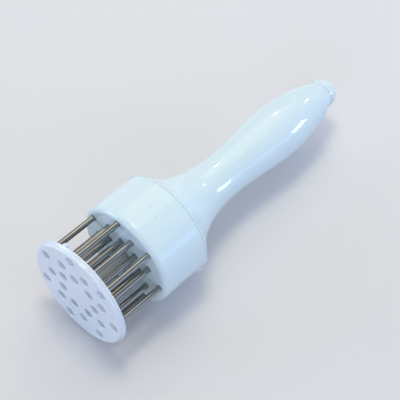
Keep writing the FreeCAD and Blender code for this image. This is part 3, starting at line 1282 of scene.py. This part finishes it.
@dataclass
class EndCap:
    """Domed cap with a hollow plug, pressed into the end of the handle."""

    start: float = 179.6
    radius: float = 7.9
    front_rounding: float = 0.3
    edge_length: float = 1.5
    dome_length: float = 7.5
    dome_fullness: float = 0.5
    plug_radius: float = 5.8
    plug_length: float = 7.5
    plug_chamfer: float = 0.5
    recess_radius: float = 4.2
    recess_depth: float = 6.0
    steps: int = 120
    dome_steps: int = 28

    def dome(self) -> list[Corner]:
        """The dome from its edge to its middle.

        Returns:
            The dome's corners in order.
        """
        edge = self.start + self.edge_length
        end = edge + self.dome_length
        curve = geometry.interpolate_bezier(
            Vector((edge, self.radius)),
            Vector((edge + self.dome_length * self.dome_fullness, self.radius)),
            Vector((end, self.radius * self.dome_fullness)),
            Vector((end, 0.0)),
            self.dome_steps,
        )
        return [Corner(point.x, point.y) for point in curve]

    def build(self, shop: Workshop, material: bpy.types.Material) -> None:
        """Turns the cap and hands it to the frame.

        Args:
            shop: Takes the finished piece.
            material: Its finish.
        """
        plug_start = self.start - self.plug_length
        recess_end = plug_start + self.recess_depth
        shape = turned(
            [
                Corner(recess_end, 0.0),
                Corner(recess_end, self.recess_radius),
                Corner(plug_start, self.recess_radius),
                Corner(plug_start, self.plug_radius - self.plug_chamfer),
                Corner(plug_start + self.plug_chamfer, self.plug_radius),
                Corner(self.start, self.plug_radius),
                Corner(self.start, self.radius, self.front_rounding),
                *self.dome(),
            ],
            self.steps,
        )
        made = shop.mesh_object("cap_moulding", shape)
        shop.even_shading(made)
        shop.deliver(made, material, Body.HANDLE, ["end_cap"])


@dataclass
class ReturnSpring:
    """Wire coil between the stop washer and its seat, closed and ground flat at both ends."""

    start: float = 50.0
    end: float = 94.0
    wire_radius: float = 0.6
    coil_radius: float = 5.6
    active_turns: int = 8
    closed_rise: float = 1.8
    travel: float = 24.0
    wire_steps: int = 14
    quarter_steps: int = 8

    def rises(self) -> Iterator[float]:
        """How far the wire climbs in each quarter turn.

        Yields:
            The climb in millimetres.
        """
        length = self.end - self.start
        active_rise = (length - 2 * self.closed_rise) / self.active_turns
        for quarter in range(4 * (self.active_turns + 2)):
            closed = quarter < 4 or quarter >= 4 * (self.active_turns + 1)
            yield (self.closed_rise if closed else active_rise) / 4

    def wire(self) -> bmesh.types.BMesh:
        """The whole coil before its ends are ground.

        Returns:
            The wire as an open tube.
        """
        shape = bmesh.new()
        place = Matrix.Translation((self.start, self.coil_radius, 0.0))
        ring = bmesh.ops.create_circle(
            shape, cap_ends=False, radius=self.wire_radius, segments=self.wire_steps, matrix=place
        )
        rim = {edge for vertex in ring["verts"] for edge in vertex.link_edges}
        end = [*ring["verts"], *rim]
        for rise in self.rises():
            swept = bmesh.ops.spin(
                shape,
                geom=end,
                cent=ORIGIN,
                axis=AXIS,
                dvec=AXIS * (rise / self.quarter_steps),
                angle=FULL_TURN / 4,
                steps=self.quarter_steps,
                use_merge=False,
                use_normal_flip=False,
                use_duplicate=False,
            )
            end = swept["geom_last"]
        return shape

    def grind(self, shape: bmesh.types.BMesh, station: float, outward: float) -> None:
        """Cuts the coil flat and closes the cut.

        Args:
            shape: The coil.
            station: Where it is cut.
            outward: Plus or minus one, the side that goes.
        """
        cut = bmesh.ops.bisect_plane(
            shape,
            geom=shape.verts[:] + shape.edges[:] + shape.faces[:],
            dist=SAME_PLACE,
            plane_co=AXIS * station,
            plane_no=AXIS * outward,
            clear_outer=True,
            clear_inner=False,
        )
        rim = [item for item in cut["geom_cut"] if isinstance(item, bmesh.types.BMEdge)]
        bmesh.ops.holes_fill(shape, edges=rim, sides=0)

    def build(self, shop: Workshop, material: bpy.types.Material) -> None:
        """Coils the spring, grinds its ends and hands it to the frame.

        Args:
            shop: Takes the finished piece.
            material: Its finish.
        """
        shape = self.wire()
        self.grind(shape, self.start, -1.0)
        self.grind(shape, self.end, 1.0)
        bmesh.ops.holes_fill(shape, edges=[edge for edge in shape.edges if edge.is_boundary], sides=0)
        tidy(shape)
        made = shop.mesh_object("spring_coil", shape)
        shop.deliver(made, material, Body.HANDLE, ["return_spring"])
        tuple(shop.axis.point(self.end))
        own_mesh(made)


@dataclass(frozen=True)
class Sliver:
    """One flake of flash: station and angle of its root and tip, and its lift and size."""

    root: tuple[float, float]
    tip: tuple[float, float]
    lift: float
    width: float
    thickness: float


@dataclass
class FlashBurrs:
    """Torn flash that lies and stands round the joint between the cup and the handle."""

    cup: HeadCup
    joints: int = 6
    root_depth: float = 0.08
    tip_share: float = 0.45
    slivers: tuple[Sliver, ...] = (
        Sliver((55.7, 191.5), (58.8, 184.1), 0.85, 1.0, 0.55),
        Sliver((57.2, 206.0), (58.9, 201.9), 0.9, 1.0, 0.65),
        Sliver((55.3, 207.2), (58.6, 209.5), 1.1, 0.8, 0.5),
        Sliver((54.2, 157.2), (58.2, 157.8), 0.25, 0.4, 0.18),
        Sliver((58.0, 140.0), (59.0, 137.6), 0.25, 0.3, 0.18),
    )

    def surface_point(self, station: float, degrees: float, height: float) -> Vector:
        """The point at a height over the cup's side."""
        radius = self.cup.radius_at(station) + height
        return AXIS * station + on_ring(radius, degrees).translation

    def spine(self, sliver: Sliver) -> list[Vector]:
        """Points from a flake's root to its tip, lifting more and more.

        Args:
            sliver: The flake's place and size.

        Returns:
            One point for each joint of the flake.
        """
        points = []
        for joint in range(self.joints + 1):
            share = joint / self.joints
            station = sliver.root[0] + (sliver.tip[0] - sliver.root[0]) * share
            degrees = sliver.root[1] + (sliver.tip[1] - sliver.root[1]) * share
            height = sliver.lift * share**2 - self.root_depth * (1.0 - share)
            points.append(self.surface_point(station, degrees, height))
        return points

    def flake(self, sliver: Sliver) -> bmesh.types.BMesh:
        """A tapering ribbon, grown joint by joint along its spine.

        Args:
            sliver: The flake's place and size.

        Returns:
            The flake with its thickness.
        """
        shape = bmesh.new()
        spine = self.spine(sliver)
        outward = Vector((0.0, spine[0].y, spine[0].z)).normalized()
        across = (spine[-1] - spine[0]).cross(outward).normalized() * sliver.width / 2
        ends = [shape.verts.new(spine[0] - across), shape.verts.new(spine[0] + across)]
        edge = shape.edges.new(ends)
        narrowing = self.tip_share ** (1.0 / self.joints)
        for before, after in zip(spine, spine[1:]):
            grown = bmesh.ops.extrude_edge_only(shape, edges=[edge])["geom"]
            edge = next(item for item in grown if isinstance(item, bmesh.types.BMEdge))
            ends = [item for item in grown if isinstance(item, bmesh.types.BMVert)]
            bmesh.ops.translate(shape, verts=ends, vec=after - before)
            narrow = Matrix.Scale(narrowing, 4)
            bmesh.ops.transform(shape, matrix=narrow, space=Matrix.Translation(-after), verts=ends)
        bmesh.ops.solidify(shape, geom=shape.faces[:], thickness=sliver.thickness)
        tidy(shape)
        return shape

    def build(self, shop: Workshop, material: bpy.types.Material) -> None:
        """Makes all the slivers one piece, in a lighter finish: partly the whitening of a fresh tear,
        partly painted highlight.

        Args:
            shop: Takes the finished piece.
            material: Its finish.
        """
        shape = bmesh.new()
        for sliver in self.slivers:
            absorb(shape, self.flake(sliver))
        made = shop.mesh_object("joint_flash", shape)
        shop.deliver(made, material, Body.HANDLE)


@dataclass
class MouldSpecks:
    """Stray dark grit pressed into the surface of the cup and the handle."""

    cup: HeadCup
    handle: Handle
    spots: tuple[tuple[float, float, float], ...] = (
        (46.8, 95.9, 0.24),
        (44.5, 108.4, 0.2),
        (41.9, 103.3, 0.13),
        (47.5, 103.1, 0.12),
        (57.5, 111.6, 0.2),
        (50.3, 221.0, 0.2),
        (39.2, 262.0, 0.16),
        (53.1, 305.0, 0.22),
        (44.0, 20.0, 0.18),
        (77.6, 73.4, 0.12),
        (130.0, 80.9, 0.12),
        (151.0, 240.0, 0.15),
        (108.0, 301.0, 0.13),
    )
    flatness: float = 0.35
    stretch: float = 1.2
    sunk: float = 0.7

    def build(self, shop: Workshop, material: bpy.types.Material) -> None:
        """Makes all the specks one piece, each a flat grain level with the surface.

        Args:
            shop: Takes the finished piece.
            material: Its finish.
        """
        shape = bmesh.new()
        for station, degrees, size in self.spots:
            grain = bmesh.new()
            bmesh.ops.create_icosphere(grain, subdivisions=2, radius=size)
            flat = Matrix.Diagonal((1.0, self.flatness, self.stretch, 1.0))
            bmesh.ops.transform(grain, matrix=flat, verts=grain.verts[:])
            carrier = self.cup if station < self.cup.back() else self.handle
            depth = carrier.radius_at(station) - size * self.flatness * self.sunk
            absorb(shape, grain, Matrix.Translation(AXIS * station) @ on_ring(depth, degrees))
        made = shop.mesh_object("mould_specks", shape)
        shop.deliver(made, material, Body.HANDLE)


@dataclass(frozen=True)
class Softbox:
    """A square light at a distance, given by the direction that it comes from."""

    name: str
    direction: tuple[float, float, float]
    distance: float
    width: float
    height: float
    power: float
    colour: tuple[float, float, float]
    mirrored: bool = True

    def place(self, aim: Vector) -> None:
        """Puts the light up and turns it to the object.

        Args:
            aim: The point that it shines at.
        """
        lamp = bpy.data.lights.new(self.name, "AREA")
        lamp.shape = "RECTANGLE"
        lamp.size = self.width
        lamp.size_y = self.height
        lamp.energy = self.power
        lamp.color = self.colour
        stand = bpy.data.objects.new(self.name, lamp)
        outward = Vector(self.direction).normalized()
        stand.location = aim + outward * self.distance
        stand.rotation_euler = outward.to_track_quat("Z", "Y").to_euler()
        stand.visible_glossy = self.mirrored
        bpy.context.scene.collection.objects.link(stand)


@dataclass
class Studio:
    """Pale floor, soft lights and the photograph's camera."""

    aim: Vector = field(default_factory=lambda: Vector((-0.012475, -0.002787, 0.028)))
    azimuth: float = -46.762
    elevation: float = 53.150
    distance: float = 0.58588
    lens: float = 104.87
    sensor: float = 36.0
    floor_size: float = 4.0
    floor_colour: Colour = (0.76, 0.74, 0.74, 1.0)
    bounce_colour: Colour = (0.42, 0.37, 0.33, 1.0)
    world_colour: Colour = (0.86, 0.9, 1.0, 1.0)
    world_strength: float = 0.4
    softboxes: tuple[Softbox, ...] = (
        Softbox("overhead", (0.08, 0.11, 0.99), 1.1, 0.32, 0.32, 3.3, (1.0, 0.94, 0.68)),
        Softbox("ceiling", (0.42, 0.33, 0.84), 1.1, 0.75, 0.85, 2.1, (1.0, 0.95, 0.78)),
        Softbox("side window", (0.65, -0.735, 0.18), 1.5, 0.34, 0.3, 3.6, (0.66, 0.8, 1.0)),
        Softbox("cool side", (0.25, -0.95, 0.16), 1.4, 1.5, 0.36, 4.0, (0.24, 0.5, 1.0)),
        Softbox("front left", (-0.85, -0.45, 0.3), 1.4, 1.0, 0.8, 7.0, (0.66, 0.74, 1.0), False),
        Softbox("far window", (-0.64, 0.74, 0.17), 1.6, 0.7, 0.48, 7.0, (0.52, 0.74, 1.0)),
        Softbox("right side", (0.25, 0.9, 0.4), 1.4, 1.0, 0.8, 3.8, (0.64, 0.72, 1.0), False),
        Softbox("end side", (0.95, 0.0, 0.35), 1.4, 1.0, 0.8, 4.8, (0.4, 0.6, 1.0), False),
        Softbox("far bulb", (0.571, 0.45, 0.685), 1.3, 0.06, 0.06, 0.5, (1.0, 0.97, 0.9)),
        Softbox("end bulb", (0.83, 0.0, 0.55), 1.3, 0.06, 0.06, 0.35, (1.0, 0.97, 0.9)),
    )

    def floor_finish(self) -> bpy.types.Material:
        """Makes the floor's finish, which throws less light back than it shows.

        Returns:
            The material, which the camera, reflections and clear pieces see pale.
        """
        sheet = NodeSheet("pale_floor")
        grain = sheet.noise(sheet.object_space(), 900.0)
        path = sheet.add("ShaderNodeLightPath", {}).outputs
        seen = sheet.math("MAXIMUM", path["Is Camera Ray"], path["Is Glossy Ray"])
        seen = sheet.math("MAXIMUM", seen, path["Is Transmission Ray"])
        return sheet.finish(
            Base_Color=sheet.blend(seen, self.bounce_colour, self.floor_colour),
            Roughness=sheet.spread(grain, (0.0, 1.0), (0.6, 0.7), "LINEAR"),
        )

    def build_floor(self) -> None:
        """Lays the floor, which isn't part of the tool."""
        shape = bmesh.new()
        bmesh.ops.create_grid(shape, x_segments=1, y_segments=1, size=self.floor_size / 2)
        mesh = bpy.data.meshes.new("floor")
        shape.to_mesh(mesh)
        shape.free()
        mesh.materials.append(self.floor_finish())
        floor = bpy.data.objects.new("floor", mesh)
        bpy.context.scene.collection.objects.link(floor)

    def build_world(self) -> None:
        """Sets an even, slightly cool surrounding light."""
        world = bpy.data.worlds.new("studio")
        world.use_nodes = True
        background = world.node_tree.nodes["Background"]
        background.inputs["Color"].default_value = self.world_colour
        background.inputs["Strength"].default_value = self.world_strength
        bpy.context.scene.world = world

    def build_camera(self) -> None:
        """Stands the camera where the photograph was taken from."""
        azimuth = math.radians(self.azimuth)
        elevation = math.radians(self.elevation)
        flat = math.cos(elevation)
        back = Vector((math.sin(azimuth) * flat, -math.cos(azimuth) * flat, math.sin(elevation)))
        right = Vector((math.cos(azimuth), math.sin(azimuth), 0.0))
        lens = bpy.data.cameras.new("camera")
        lens.lens = self.lens
        lens.sensor_width = self.sensor
        lens.clip_start = 0.01
        camera = bpy.data.objects.new("camera", lens)
        camera.location = self.aim + back * self.distance
        camera.rotation_euler = Matrix((right, back.cross(right), back)).transposed().to_euler()
        bpy.context.scene.collection.objects.link(camera)
        bpy.context.scene.camera = camera

    def build(self) -> None:
        """Sets up the whole studio."""
        bpy.context.scene.view_settings.view_transform = "Standard"
        self.build_floor()
        self.build_world()
        for softbox in self.softboxes:
            softbox.place(self.aim)
        self.build_camera()


def main() -> None:
    """Builds every sub-assembly in order, then the studio."""
    logging.basicConfig(level=logging.INFO, format="%(name)s %(message)s")
    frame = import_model()
    axis = ToolAxis.from_frame(frame)
    shop = Workshop(frame, axis)
    pattern = NeedlePattern()
    handle = Handle()

    cup_plastic = MouldedPlastic("cup_white").material(axis)
    inner_plastic = MouldedPlastic("inner_white", gloss=0.3).material(axis)
    handle_plastic = MouldedPlastic("handle_white", seam_degrees=handle.seam_degrees).material(axis)
    plate_plastic = MouldedPlastic(
        "plate_white", colour=(0.79, 0.86, 0.93, 1.0), flow_colour=(0.76, 0.83, 0.9, 1.0)
    ).material(axis)
    # The stem is white plastic; its colour is darkened to grey here as painted shade, for the needles'
    # shadow that falls on it.
    stem_plastic = MouldedPlastic(
        "stem_white_painted_shade", colour=(0.42, 0.45, 0.45, 1.0), flow_colour=(0.4, 0.43, 0.43, 1.0), gloss=0.3
    ).material(axis)
    # The flash is lighter than the cup: partly the whitening of a fresh tear, partly painted highlight
    # where the slivers catch the light.
    torn_and_highlit_plastic = MouldedPlastic(
        "torn_flash_and_painted_highlight", colour=(0.88, 0.9, 0.96, 1.0), flow_colour=(0.84, 0.86, 0.93, 1.0), gloss=0.2
    ).material(axis)
    needle_steel = DrawnSteel("needle_steel").material(axis)
    spring_steel = DrawnSteel("spring_steel", gloss=0.26).material(axis)
    fastener_steel = PlatedSteel("fastener_steel").material(axis)
    speck = DarkSpeck("speck_grit").material(axis)

    cup = HeadCup(pattern)
    GuidePlate(pattern).build(shop, plate_plastic)
    GuideStem().build(shop, stem_plastic)
    NeedleField(pattern).build(shop, needle_steel)
    cup.build(shop, cup_plastic)
    handle.build(shop, handle_plastic)
    EndCap().build(shop, handle_plastic)
    ReturnSpring().build(shop, spring_steel)
    FlashBurrs(cup).build(shop, torn_and_highlit_plastic)
    MouldSpecks(cup, handle).build(shop, speck)
    for node in ("stop_washer", "stem_screw", "retainer_screws"):
        shop.dress_node(node, fastener_steel)
    for node in ("spring_seat", "needle_retainer"):
        shop.dress_node(node, inner_plastic)
    Studio().build()


if __name__ == "__main__":
    main()
